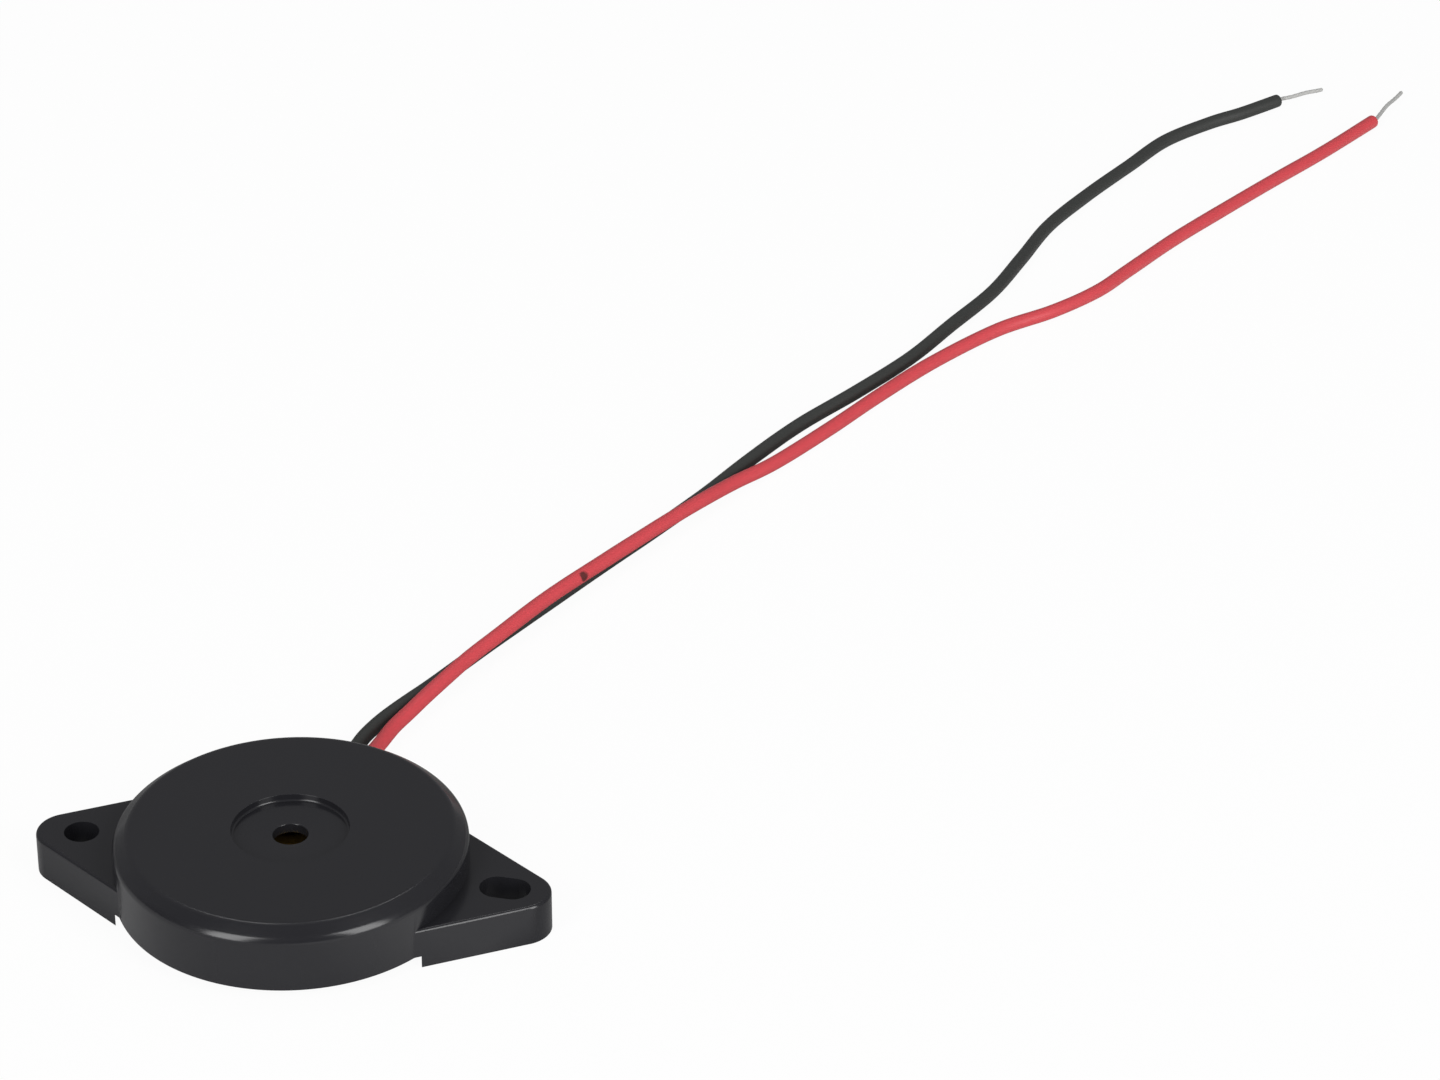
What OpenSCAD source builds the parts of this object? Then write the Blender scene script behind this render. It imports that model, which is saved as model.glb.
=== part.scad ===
// Flange-mount piezo buzzer with two lead wires.
// A round moulded housing stands on two ears, one with a round screw hole and
// one with a slot that takes up the tolerance of the holes it is screwed to.
// Origin: centre of the body, on the plane of the ears' undersides.
// X runs along the ears, +Y towards the leads, +Z out of the sound hole.

/* [Body] */
// Diameter of the round body
body_d = 24; // [20:0.5:30]
// Height of the body's lower rim above the ears' undersides
rim_lift = 0.9; // [0.4:0.1:1.4]
// Thickness of the side wall
side_wall = 1.3; // [0.9:0.1:1.8]
// Thickness of the roof beside the recess
roof_t = 1.2; // [1:0.1:2]
// Height of the air space between the roof and the diaphragm
air_gap = 0.7; // [0.4:0.05:2]
// Width of the sloped edge round the top, measured along the radius
chamfer_w = 1; // [0.8:0.1:1.5]
// Height of the sloped edge round the top
chamfer_h = 0.8; // [0.6:0.1:1.2]
// Radius that rounds the sloped edge into the top face
top_edge_r = 0.6; // [0.2:0.1:0.8]
// Radius that rounds the sloped edge into the side
side_edge_r = 0.8; // [0.2:0.1:0.9]

/* [Sound hole] */
// Diameter of the sound hole
sound_d = 2.4; // [1:0.1:4]
// Diameter of the round recess about the sound hole
recess_d = 8; // [5:0.5:12]
// Depth of the recess
recess_depth = 0.5; // [0.5:0.1:0.8]
// Radius at the foot of the recess's wall
recess_foot_r = 0.2; // [0.05:0.05:0.3]
// Radius on the recess's upper edge
recess_edge_r = 0.05; // [0.05:0.05:0.2]
// Radius on the upper edge of the sound hole
sound_edge_r = 0.1; // [0.05:0.05:0.3]

/* [Ears] */
// Thickness of the ears
ear_t = 3; // [2:0.1:3.6]
// Distance between the two screw holes
hole_pitch = 29.7; // [27:0.1:36]
// Distance from each screw hole's centre to the end of its ear
ear_end = 3.15; // [2.6:0.05:4]
// Radius of the rounded ear end
ear_tip_r = 2.15; // [1.4:0.05:2.5]
// Radius of the circle about the body's centre that the ears' straight edges run tangent to
ear_root_r = 10.8; // [9:0.1:11.4]
// Radius that rounds the top edges of the ears
ear_edge_r = 0.25; // [0.1:0.05:0.4]
// Diameter of the round screw hole and width of the slot
screw_d = 2.4; // [2:0.1:2.6]
// Length of the slot, end to end
slot_len = 3.5; // [3:0.1:4]
// Gap between the body's rim and the feet that the ears form below it
foot_gap = 0.2; // [0.1:0.05:0.5]

/* [Sounder] */
// Gap between the diaphragm's edge and the side wall
disc_gap = 0.7; // [0.4:0.1:1]
// Thickness of the brass diaphragm
disc_t = 0.2; // [0.1:0.05:0.3]
// Width of the ledge that the diaphragm's edge lies on
ledge_w = 0.8; // [0.5:0.1:1.2]
// Width of the bare brass round the ceramic disc
brass_margin = 3; // [2.5:0.1:4]
// Thickness of the piezo ceramic disc
ceramic_t = 0.2; // [0.1:0.05:0.3]
// Bare rim of ceramic round its silver electrode
electrode_rim = 0.5; // [0.3:0.1:1]
// Thickness of the silver electrode
electrode_t = 0.03; // [0.02:0.01:0.05]
// Depth of the adhesive bead below the diaphragm
bead_h = 0.3; // [0.2:0.05:0.6]
// Width of the diaphragm's edge that the bead covers
bead_lap = 0.5; // [0.3:0.05:0.8]

/* [Back cover] */
// Thickness of the back cover
cover_t = 1; // [0.6:0.1:1.5]
// Depth of the cover's outer face inside the body's rim
cover_sink = 0.1; // [0:0.05:0.4]
// Width of the step in the side wall that the cover's edge lies on
cover_step = 0.3; // [0.2:0.1:0.6]
// Gap between the cover's edge and the side wall
cover_gap = 0.05; // [0.03:0.01:0.15]

/* [Leads] */
// Outer diameter of a lead's insulation
lead_d = 1.1; // [0.8:0.05:1.15]
// Distance between the two leads where they leave the body
lead_pitch = 1.3; // [1.2:0.1:1.8]
// Gap round a lead, to the cover, the bead and the seal
lead_gap = 0.05; // [0.03:0.01:0.1]
// Length of each lead's insulation inside the side wall
lead_inside = 1; // [0.5:0.1:1.4]
// Thickness of the seal beside and above the leads
seal_side = 0.25; // [0.15:0.05:0.35]
// How far the seal bulges out of the side wall
seal_bulge = 0.3; // [0.1:0.05:0.6]
// Diameter of the tinned strands
strand_d = 0.3; // [0.2:0.02:0.4]
// Diameter of a solder joint
solder_d = 1.4; // [1:0.1:1.5]
// Height of a solder joint
solder_h = 0.6; // [0.5:0.05:0.7]

/* [Hidden] */
$fn = 96;
// Straight pieces in each rounded corner, sides and rings of each lead's tube
arc_steps = 6;
tube_sides = 8;
tube_rings = 41;
// Extra reach of a cutting tool past the face that it cuts
past = 1;

// Radii that follow from the driving sizes
body_r = body_d / 2;
bore_r = body_r - side_wall;
mouth_r = bore_r + cover_step;
disc_r = bore_r - disc_gap;
ledge_r = disc_r - ledge_w;
ceramic_r = disc_r - brass_margin;
electrode_r = ceramic_r - electrode_rim;
screw_r = screw_d / 2;
lead_r = lead_d / 2;
lead_bore_r = lead_r + lead_gap;
strand_bore_r = strand_d / 2 + lead_gap;

// Levels, stacked up from the ears' undersides
cover_z = rim_lift + cover_sink;
cover_top_z = cover_z + cover_t;
lead_z = cover_top_z + lead_gap + lead_r;
bead_z = lead_z + lead_r + lead_gap;
disc_z = bead_z + bead_h;
ceramic_z = disc_z - ceramic_t;
electrode_z = ceramic_z - electrode_t;
ledge_z = disc_z + disc_t;
roof_z = ledge_z + air_gap;
top_z = roof_z + roof_t;

// Ears: centres of a screw hole and of a rounded end
hole_x = hole_pitch / 2;
tip_x = hole_x + ear_end - ear_tip_r;

// Notch in the side wall that the leads leave through
notch_w = lead_pitch + 2 * (lead_bore_r + seal_side);
notch_z = lead_z + lead_bore_r + seal_side;
bulge_h = (notch_z - rim_lift) / 2;
bulge_r = 0.8 * norm([bulge_h, seal_bulge]) * bulge_h / seal_bulge;

// Solder joints: red on the silver electrode, black on the bare brass beside the ceramic
red_solder_at = [lead_pitch / 2, electrode_r - 1.4 * solder_d / 2];
brass_rim = [ceramic_r, disc_r - bead_lap];
black_solder_at = (brass_rim[0] + brass_rim[1]) / 2 * [-sin(12), cos(12)];

// Routes of the leads from the wall to the end of the insulation: x, y and the height above
// lying on the surface that the ears stand on, counted in lead diameters. The red lead rests
// on the black one between y = 24 and y = 58.
red_route = [[0.8, 14.2, 1.4], [1.05, 15.8, 0.85], [1.15, 17.6, 0.5], [1.45, 20, 0.38],
    [2.05, 22, 0.44], [2.75, 24.2, 0.56], [3.6, 26.6, 0.71], [4.5, 29.2, 0.79], [5.65, 32, 0.86],
    [8.1, 38, 0.95], [10.9, 44, 0.89], [13.75, 50, 0.79], [15.7, 54, 0.67],
    [17.5, 58, 0.28], [19.8, 62, 0.04], [22.8, 68, 0], [25.6, 74, 0], [28.7, 80, 0],
    [32.6, 86, 0], [36.4, 90, 0], [39.3, 94, 0], [41.2, 98, 0], [44, 104, 0],
    [47.2, 110, 0], [50.5, 116, 0], [53.9, 122, 0], [57.3, 128.6, 0]];
black_route = [[-0.65, 14.2, 1.3], [-0.66, 15.7, 0.5], [-0.6, 17.2, 0.08], [-0.4, 19, 0],
    [0.1, 20.8, 0], [0.7, 22.4, 0], [1.4, 24, 0], [2.5, 26.4, 0], [4.85, 32, 0], [7.5, 38, 0],
    [10.15, 44, 0], [12.9, 50, 0], [15.5, 56, 0], [17.8, 62, 0],
    [20.4, 68, 0], [23.7, 74, 0], [26.7, 80, 0], [28.9, 86, 0], [31.1, 92, 0], [32.4, 98, 0],
    [33.6, 104, 0], [35.8, 110, 0], [38.4, 116, 0], [40.6, 121, 0], [43.7, 125, 0],
    [46.2, 127.5, 0], [48.9, 130.6, 0]];
// Bare strands beyond the insulation, level with its axis
red_strands = [[57.3, 128.6], [57.5, 129], [57.9, 131], [58.5, 132.9], [59, 134.4]];
black_strands = [[48.9, 130.6], [49.2, 130.95], [50.7, 132.2], [52.3, 133.5]];

// Height of a lead's axis where it lies on the surface
floor_z = lead_r + 0.01;
function raised(route) = [for (p = route) [p[0], p[1], floor_z + (len(p) > 2 ? p[2] * lead_d : 0)]];

function unit(v) = v / norm(v);

// Arc that rounds the corner b between its neighbours a and c
function rounded_corner(a, b, c, r) = r == 0 ? [b] :
    let (u = unit(a - b), v = unit(c - b), half = acos(u * v) / 2)
    let (o = b + unit(u + v) * r / sin(half))
    let (p = b + u * r / tan(half) - o, q = b + v * r / tan(half) - o)
    [for (i = [0:arc_steps]) o + r * unit(p * (1 - i / arc_steps) + q * i / arc_steps)];

// Closed outline through corners [x, y, radius]
function rounded(c) = let (n = len(c))
    [for (i = [0:n - 1]) each rounded_corner(flat(c[(i + n - 1) % n]), flat(c[i]),
        flat(c[(i + 1) % n]), c[i][2])];
function flat(p) = [p[0], p[1]];

// Smooth curve through the points p, where t counts points from the start
function curve_at(p, t) =
    let (i = min(floor(t), len(p) - 2), u = t - i, b = p[i], c = p[i + 1])
    let (a = p[max(i - 1, 0)], d = p[min(i + 2, len(p) - 1)])
    b + u * ((c - a) + u * ((2 * a - 5 * b + 4 * c - d) + u * (3 * b - a - 3 * c + d))) / 2;
function smooth(p, count) = [for (i = [0:count - 1]) curve_at(p, i * (len(p) - 1) / (count - 1))];

// Corners of a tube's cross-section at a point of its path
function ring(centre, along, r) =
    let (side = unit(cross(along, [0, 0, 1])), up = cross(side, along))
    [for (k = [0:tube_sides - 1]) let (a = 360 * k / tube_sides)
        centre + r * (cos(a) * side + sin(a) * up)];

// Tube of diameter d along a path of points
module tube(path, d) {
    n = len(path);
    s = tube_sides;
    points = [for (i = [0:n - 1])
        each ring(path[i], unit(path[min(i + 1, n - 1)] - path[max(i - 1, 0)]), d / 2)];
    walls = [for (i = [0:n - 2], k = [0:s - 1]) let (l = (k + 1) % s)
        each [[i * s + k, i * s + l, (i + 1) * s + l], [i * s + k, (i + 1) * s + l, (i + 1) * s + k]]];
    caps = [[for (k = [s - 1:-1:0]) k], [for (k = [0:s - 1]) (n - 1) * s + k]];
    polyhedron(points, concat(walls, caps));
}

// Disc or ring between two levels
module disc(r, z0, z1) {
    translate([0, 0, z0]) cylinder(r = r, h = z1 - z0);
}

// Section of the round body: side wall, ledge, roof, recess and sound hole
module body_section() {
    sound_r = sound_d / 2;
    recess_z = top_z - recess_depth;
    polygon(rounded([
        [sound_r, roof_z, 0],
        [sound_r, recess_z, sound_edge_r],
        [recess_d / 2, recess_z, recess_foot_r],
        [recess_d / 2, top_z, recess_edge_r],
        [body_r - chamfer_w, top_z, top_edge_r],
        [body_r, top_z - chamfer_h, side_edge_r],
        [body_r, rim_lift, 0],
        [mouth_r, rim_lift, 0],
        [mouth_r, cover_top_z, 0],
        [bore_r, cover_top_z, 0],
        [bore_r, ledge_z, 0],
        [ledge_r, ledge_z, 0],
        [ledge_r, roof_z, 0]]));
}

// Flat disc with a rounded top edge, as thick as an ear
module ear_disc(r) {
    rotate_extrude($fn = 32)
        polygon(rounded([[0, 0, 0], [r, 0, 0], [r, ear_t, ear_edge_r], [0, ear_t, 0]]));
}

// Right ear without its screw hole: it narrows from the body to its rounded end, and is cut
// away below the body's rim
module ear() {
    difference() {
        hull() {
            ear_disc(ear_root_r);
            translate([tip_x, 0, 0]) ear_disc(ear_tip_r);
        }
        disc((body_r + bore_r) / 2, -past, ear_t + past);
        disc(body_r + foot_gap, -past, rim_lift);
    }
}

// Slot along X through the right ear
module slot() {
    reach = slot_len / 2 - screw_r;
    translate([hole_x, 0, -past]) {
        for (s = [-1, 1]) translate([s * reach, 0, 0]) cylinder(r = screw_r, h = ear_t + 2 * past);
        translate([-reach, -screw_r, 0]) cube([2 * reach, screw_d, ear_t + 2 * past]);
    }
}

// One moulding: the round body, its two ears, the screw holes and the leads' notch
module housing() {
    color("#2e2e31") difference() {
        union() {
            rotate_extrude() body_section();
            ear();
            mirror([1, 0, 0]) ear();
        }
        translate([-hole_x, 0, -past]) cylinder(r = screw_r, h = ear_t + 2 * past);
        slot();
        translate([-notch_w / 2, bore_r - past, rim_lift - past])
            cube([notch_w, side_wall + 2 * past, notch_z - rim_lift + past]);
    }
}

// Flat disc that closes the back of the body
module back_cover() {
    color("#29292b") disc(mouth_r - cover_gap, cover_z, cover_top_z);
}

// Adhesive that holds the diaphragm's edge to the ledge and the side wall
module bonding_bead() {
    outer = bore_r - lead_gap;
    color("#d9d6cc") rotate_extrude() polygon([[disc_r, ledge_z], [disc_r, disc_z],
        [disc_r - bead_lap, disc_z], [disc_r, bead_z], [outer, bead_z], [outer, ledge_z]]);
}

module diaphragm() {
    color("#c9a54e") disc(disc_r, disc_z, ledge_z);
}

module piezo_ceramic() {
    color("#d8d2b8") disc(ceramic_r, ceramic_z, disc_z);
}

module silver_electrode() {
    color("#b9babb") disc(electrode_r, electrode_z, ceramic_z);
}

// Section of the sealant: outer face in line with the side wall, with a bulge in its middle
module seal_section() {
    top = notch_z - cover_gap;
    bulge = [body_r + seal_bulge, rim_lift + bulge_h];
    polygon(concat([[mouth_r, rim_lift], [body_r, rim_lift]],
        rounded_corner([body_r, rim_lift], bulge, [body_r, notch_z], bulge_r),
        [[body_r, top], [bore_r, top], [bore_r, cover_top_z], [mouth_r, cover_top_z]]));
}

// Sealant that fills the notch round both leads
module lead_seal() {
    w = notch_w - 2 * cover_gap;
    color("#38383a") difference() {
        intersection() {
            rotate_extrude() seal_section();
            translate([-w / 2, 0, 0]) cube([w, body_d, top_z]);
        }
        for (s = [-1, 1]) translate([s * lead_pitch / 2, 0, lead_z]) rotate([-90, 0, 0])
            cylinder(r = lead_bore_r, h = body_d);
    }
}

// Insulation of one lead: straight out through the seal, then along its route
module lead(side, route) {
    x = side * lead_pitch / 2;
    straight = [for (y = [bore_r - lead_inside, body_r, body_r + 1]) [x, y, lead_z]];
    tube(smooth(concat(straight, raised(route)), tube_rings), lead_d);
}

module red_lead() {
    color("#c8323c") lead(1, red_route);
}

module black_lead() {
    color("#262826") lead(-1, black_route);
}

// Tinned strands that stick out of the insulation's far end
module red_tip() {
    color("#b4b6b8") tube(raised(red_strands), strand_d);
}

module black_tip() {
    color("#b4b6b8") tube(raised(black_strands), strand_d);
}

// Stripped strands inside the body: out of the insulation, up or down to the joint's level,
// and level through the joint
module inner_end(side, at, joint_z) {
    x = side * lead_pitch / 2;
    y = bore_r - lead_inside;
    color("#b4b6b8") tube([[x, y, lead_z], [x, y - 0.3, lead_z], [at[0], at[1] + solder_d / 2, joint_z],
        [at[0], at[1], joint_z]], strand_d);
}

// Dome of solder under the face at height z, with the strands' hole in its side
module solder(at, z, joint_z) {
    r = solder_d / 2;
    h = solder_h;
    color("#c2c4c6") difference() {
        translate([at[0], at[1], z]) rotate_extrude()
            polygon(rounded([[0, 0, 0], [r, 0, 0], [r, -h, 0.9 * min(r, h)], [0, -h, 0]]));
        translate([at[0], at[1], joint_z]) rotate([-90, 0, 0])
            cylinder(r = strand_bore_r, h = solder_d);
    }
}

red_joint_z = electrode_z - solder_h / 2;
black_joint_z = disc_z - solder_h / 2;

module red_inner_end() {
    inner_end(1, red_solder_at, red_joint_z);
}

module black_inner_end() {
    inner_end(-1, black_solder_at, black_joint_z);
}

module red_solder() {
    solder(red_solder_at, electrode_z, red_joint_z);
}

module black_solder() {
    solder(black_solder_at, disc_z, black_joint_z);
}

housing();
back_cover();
bonding_bead();
diaphragm();
piezo_ceramic();
silver_electrode();
lead_seal();
red_lead();
black_lead();
red_tip();
black_tip();
red_inner_end();
black_inner_end();
red_solder();
black_solder();
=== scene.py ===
# %% [markdown]
# # A piezo buzzer with two lead wires
#
# The object is a small sounder: a round black plastic housing, 24 mm across, on two ears with
# screw holes, and two thin lead wires that come out of its back and lie loose on the table.
# The solid model brings every part in its place. This lesson dresses it: it remakes the parts
# that show as smooth surfaces worked out from formulas, and gives each one its material.

import bpy
import bmesh
from mathutils import Matrix
import numpy as np


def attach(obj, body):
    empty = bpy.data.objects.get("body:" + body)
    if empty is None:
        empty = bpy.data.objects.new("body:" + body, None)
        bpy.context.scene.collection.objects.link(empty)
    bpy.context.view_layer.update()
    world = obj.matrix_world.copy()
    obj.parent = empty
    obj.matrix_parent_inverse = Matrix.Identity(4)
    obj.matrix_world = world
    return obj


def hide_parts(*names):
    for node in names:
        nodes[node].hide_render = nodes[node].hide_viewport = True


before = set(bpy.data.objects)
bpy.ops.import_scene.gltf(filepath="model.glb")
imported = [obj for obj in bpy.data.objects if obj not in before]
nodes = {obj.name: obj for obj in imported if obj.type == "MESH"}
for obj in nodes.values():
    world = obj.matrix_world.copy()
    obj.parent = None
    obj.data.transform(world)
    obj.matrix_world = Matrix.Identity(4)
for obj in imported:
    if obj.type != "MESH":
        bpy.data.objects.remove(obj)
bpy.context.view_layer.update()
print("solids:", sorted(nodes))

# %% [markdown]
# ## Sizes
#
# All shapes below are drawn in millimetres, as on the maker's drawing, and turned to metres
# only when they become a mesh. The sizes are those of the solid model, so every new surface
# lies on the solid that it stands for. Radii end in _R, diameters in _D and heights above the
# table in _Z.

# %% Sizes in millimetres
MM = 0.001
BODY_R, RIM_Z, TOP_Z = 12.0, 0.9, 5.6                     # the body's wall, lower rim and top
SHOULDER_R, SHOULDER_Z = 11.0, 4.8                        # where the slope starts and ends
SOUND_R, RECESS_R, RECESS_Z = 1.2, 4.0, 5.1               # sound hole, recess and its floor
BORE_R, COVER_R, LEDGE_R = 11.0, 10.7, 9.2                # steps inside, from below upwards
COVER_Z, LEDGE_Z, ROOF_Z = 2.0, 3.7, 4.4                  # and where each of them ends
EAR_T, TIP_X, TIP_R, ROOT_R = 3.0, 15.85, 2.15, 10.8      # ears: thickness and two circles
HOLE_X, SCREW_R, SLOT_REACH = 14.85, 1.2, 0.55            # screw holes
LEAD_D, LEAD_PITCH, LEAD_Z, STRAND_D = 1.1, 1.3, 2.6, 0.3
LEAD_R = LEAD_D / 2
FLOOR_Z = LEAD_R + 0.01                                   # height of a lead that lies down
print("lead lies with its middle at", round(FLOOR_Z, 2), "mm")

# %% [markdown]
# ## Camera
#
# A product photographer shoots such a small part with a long lens from well above. A long lens
# keeps the far ends of the wires nearly as large as the near ones, which is what the picture
# shows. The camera's place was worked out from the circles and holes of the part. The camera
# looks down by 32 degrees and stands a little to the right of the part's own front.

# %% Camera
RIGHT = np.array([0.97508, 0.22187, 0.0])
AHEAD = np.array([-0.18881, 0.82941, -0.52576])


def place_camera(name, spot, right, ahead, lens):
    """Camera at spot (mm), its picture's x axis along right, looking along ahead."""
    right = right / np.linalg.norm(right)
    ahead = ahead / np.linalg.norm(ahead)
    up = np.cross(right, ahead)
    turn = np.eye(4)
    turn[:3, 0], turn[:3, 1], turn[:3, 2] = right, up, -ahead
    turn[:3, 3] = np.array(spot) * MM
    data = bpy.data.cameras.new(name)
    data.sensor_fit, data.sensor_width, data.lens = "HORIZONTAL", 36, lens
    data.clip_start, data.clip_end = 0.01, 20
    camera = bpy.data.objects.new(name, data)
    bpy.context.scene.collection.objects.link(camera)
    camera.matrix_world = Matrix(turn.tolist())
    bpy.context.scene.camera = camera
    return camera


camera = place_camera("camera", (95.72, -290.56, 216.56), RIGHT, AHEAD, 137.8)
print("camera distance from the part, mm:", round(camera.matrix_world.translation.length * 1000, 1))

# %% [markdown]
# ## Turning arrays into a mesh
#
# Each new piece is a surface of two parameters: a grid of points, with one parameter along the
# rows and the other along the columns. Such a grid could be typed in as single faces, but it is
# shorter and exact to compute all its points at once and let its faces follow from the grid.
# A closed parameter wraps round, so the last column joins the first. Where a row shrinks to one
# point, as at the end of a wire, its doubled points are merged.


# %% From a grid of points to an object
def grid_object(name, points, wrap_rows=False, wrap_columns=True):
    """Object whose mesh is the grid points[i, j] in mm. Face (i, j) joins the grid points
    (i, j), (i, j + 1), (i + 1, j + 1) and (i + 1, j)."""
    rows, columns, _ = points.shape
    i = np.arange(rows if wrap_rows else rows - 1)
    j = np.arange(columns if wrap_columns else columns - 1)
    i, j = [a.ravel() for a in np.meshgrid(i, j, indexing="ij")]
    i2, j2 = (i + 1) % rows, (j + 1) % columns
    corners = np.stack([i * columns + j, i * columns + j2, i2 * columns + j2, i2 * columns + j])
    mesh = bpy.data.meshes.new(name)
    mesh.vertices.add(rows * columns)
    mesh.vertices.foreach_set("co", (points.reshape(-1) * MM).astype(np.float32))
    mesh.loops.add(4 * len(i))
    mesh.loops.foreach_set("vertex_index", corners.T.reshape(-1).astype(np.int32))
    mesh.polygons.add(len(i))
    mesh.polygons.foreach_set("loop_start", np.arange(len(i), dtype=np.int32) * 4)
    mesh.update(calc_edges=True)
    return tidy_mesh(name, mesh)


def tidy_mesh(name, mesh):
    """Object from a mesh, its doubled points merged, its normals turned outwards and its
    surface shaded smooth up to creases of 35 degrees."""
    work = bmesh.new()
    work.from_mesh(mesh)
    bmesh.ops.remove_doubles(work, verts=work.verts, dist=1e-7)
    bmesh.ops.recalc_face_normals(work, faces=work.faces)
    work.to_mesh(mesh)
    work.free()
    mesh.validate()
    mesh.polygons.foreach_set("use_smooth", np.ones(len(mesh.polygons), dtype=bool))
    mesh.set_sharp_from_angle(angle=np.radians(35))
    piece = bpy.data.objects.new(name, mesh)
    bpy.context.scene.collection.objects.link(piece)
    return piece


# %% [markdown]
# ## The leads' routes
#
# Each lead is a stranded wire in soft plastic insulation, about 130 mm long and 1.1 mm thick.
# It could be a simulated rope, but the picture shows where it lies, so its route is drawn
# through a few points and smoothed. Both leads leave the housing level, side by side, and bend
# down. The black one lies on the table after 7 mm, and the red one soon lies on top of it for a
# while. The third number of each point is the height above lying on the table, in lead
# diameters.

# %% Route points, in millimetres
red_points = np.array([
    [0.8, 14.2, 1.4], [1.05, 15.8, 0.85], [1.15, 17.6, 0.5], [1.45, 20, 0.38],
    [2.05, 22, 0.44], [2.75, 24.2, 0.56], [3.6, 26.6, 0.71], [4.5, 29.2, 0.79], [5.65, 32, 0.86],
    [8.1, 38, 0.95], [10.9, 44, 0.89], [13.75, 50, 0.79], [15.7, 54, 0.67],
    [17.5, 58, 0.28], [19.8, 62, 0.04], [22.8, 68, 0], [25.6, 74, 0], [28.7, 80, 0],
    [32.6, 86, 0], [36.4, 90, 0], [39.3, 94, 0], [41.2, 98, 0], [44, 104, 0],
    [47.2, 110, 0], [50.5, 116, 0], [53.9, 122, 0], [57.3, 128.6, 0]])
black_points = np.array([
    [-0.65, 14.2, 1.3], [-0.66, 15.7, 0.5], [-0.6, 17.2, 0.08], [-0.4, 19, 0],
    [0.1, 20.8, 0], [0.7, 22.4, 0], [1.4, 24, 0], [2.5, 26.4, 0], [4.85, 32, 0], [7.5, 38, 0],
    [10.15, 44, 0], [12.9, 50, 0], [15.5, 56, 0], [17.8, 62, 0],
    [20.4, 68, 0], [23.7, 74, 0], [26.7, 80, 0], [28.9, 86, 0], [31.1, 92, 0], [32.4, 98, 0],
    [33.6, 104, 0], [35.8, 110, 0], [38.4, 116, 0], [40.6, 121, 0], [43.7, 125, 0],
    [46.2, 127.5, 0], [48.9, 130.6, 0]])
red_strands = np.array([[57.3, 128.6], [57.5, 129], [57.9, 131], [58.5, 132.9], [59, 134.4]])
black_strands = np.array([[48.9, 130.6], [49.2, 130.95], [50.7, 132.2], [52.3, 133.5]])
print("route points: red", len(red_points), "black", len(black_points))


# %% A smooth line through the route points
def smooth_line(points, step):
    """Line with a point about every step mm: between points b and c, with a before and d after
    them, the place is the cubic that starts at b along c - a and ends at c along d - b. The
    samples are then spread evenly over the length."""
    p = np.vstack([points[:1], points, points[-1:]])
    t = np.linspace(0, 1, 24, endpoint=False)[None, :, None]
    a, b, c, d = p[:-3, None], p[1:-2, None], p[2:-1, None], p[3:, None]
    line = b + t / 2 * ((c - a) + t * ((2 * a - 5 * b + 4 * c - d) + t * (3 * b - a - 3 * c + d)))
    line = np.vstack([line.reshape(-1, points.shape[1]), points[-1:]])
    run = np.concatenate([[0], np.cumsum(np.linalg.norm(np.diff(line, axis=0), axis=1))])
    even = np.linspace(0, run[-1], max(2, round(run[-1] / step)) + 1)
    return np.stack([np.interp(even, run, line[:, k]) for k in range(points.shape[1])], axis=1)


LEVEL_Y = (9.7, 12.0, 13.0)     # the lead is level from inside the wall to 1 mm outside it


def lead_line(side, points):
    """The lead's centre line: level out of the housing at x = side * pitch / 2, then on."""
    start = np.array([[side * LEAD_PITCH / 2, y, LEAD_Z] for y in LEVEL_Y])
    rest = points.copy()
    rest[:, 2] = FLOOR_Z + points[:, 2] * LEAD_D
    return smooth_line(np.vstack([start, rest]), 0.5)


red_line = lead_line(1, red_points)
black_line = lead_line(-1, black_points)


def length_of(line):
    """Sum of the distances from each point of the line to the next one."""
    return float(np.linalg.norm(np.diff(line, axis=0), axis=1).sum())


print("insulation, mm: red", round(length_of(red_line), 1),
      "black", round(length_of(black_line), 1))

# %% [markdown]
# ## Insulation as a swept tube
#
# Insulation is squeezed round its strands through a round die, so it is a tube with a round
# section. A curve with a bevel would do, but a tube worked out ring by ring can also have the
# tiny swellings of soft plastic and a cut end: at each point of the line a ring of points
# stands square to the line. At its end the cut edge is rounded, as soft plastic pulls back.


# %% The tube's formula
def sweep(line, radius, sides):
    """Grid of rings round a line: point (i, j) is line[i] + radius[i, j] * (cos a * side
    + sin a * up), where a = 2 pi j / sides, and side and up are square to the line."""
    along = np.gradient(line, axis=0)
    along /= np.linalg.norm(along, axis=1)[:, None]
    side = np.cross(along, [0.0, 0.0, 1.0])
    side /= np.linalg.norm(side, axis=1)[:, None]
    up = np.cross(side, along)
    angle = 2 * np.pi * np.arange(sides)[None, :, None] / sides
    ring = np.cos(angle) * side[:, None] + np.sin(angle) * up[:, None]
    return line[:, None] + np.broadcast_to(radius, (len(line), sides))[:, :, None] * ring


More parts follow.
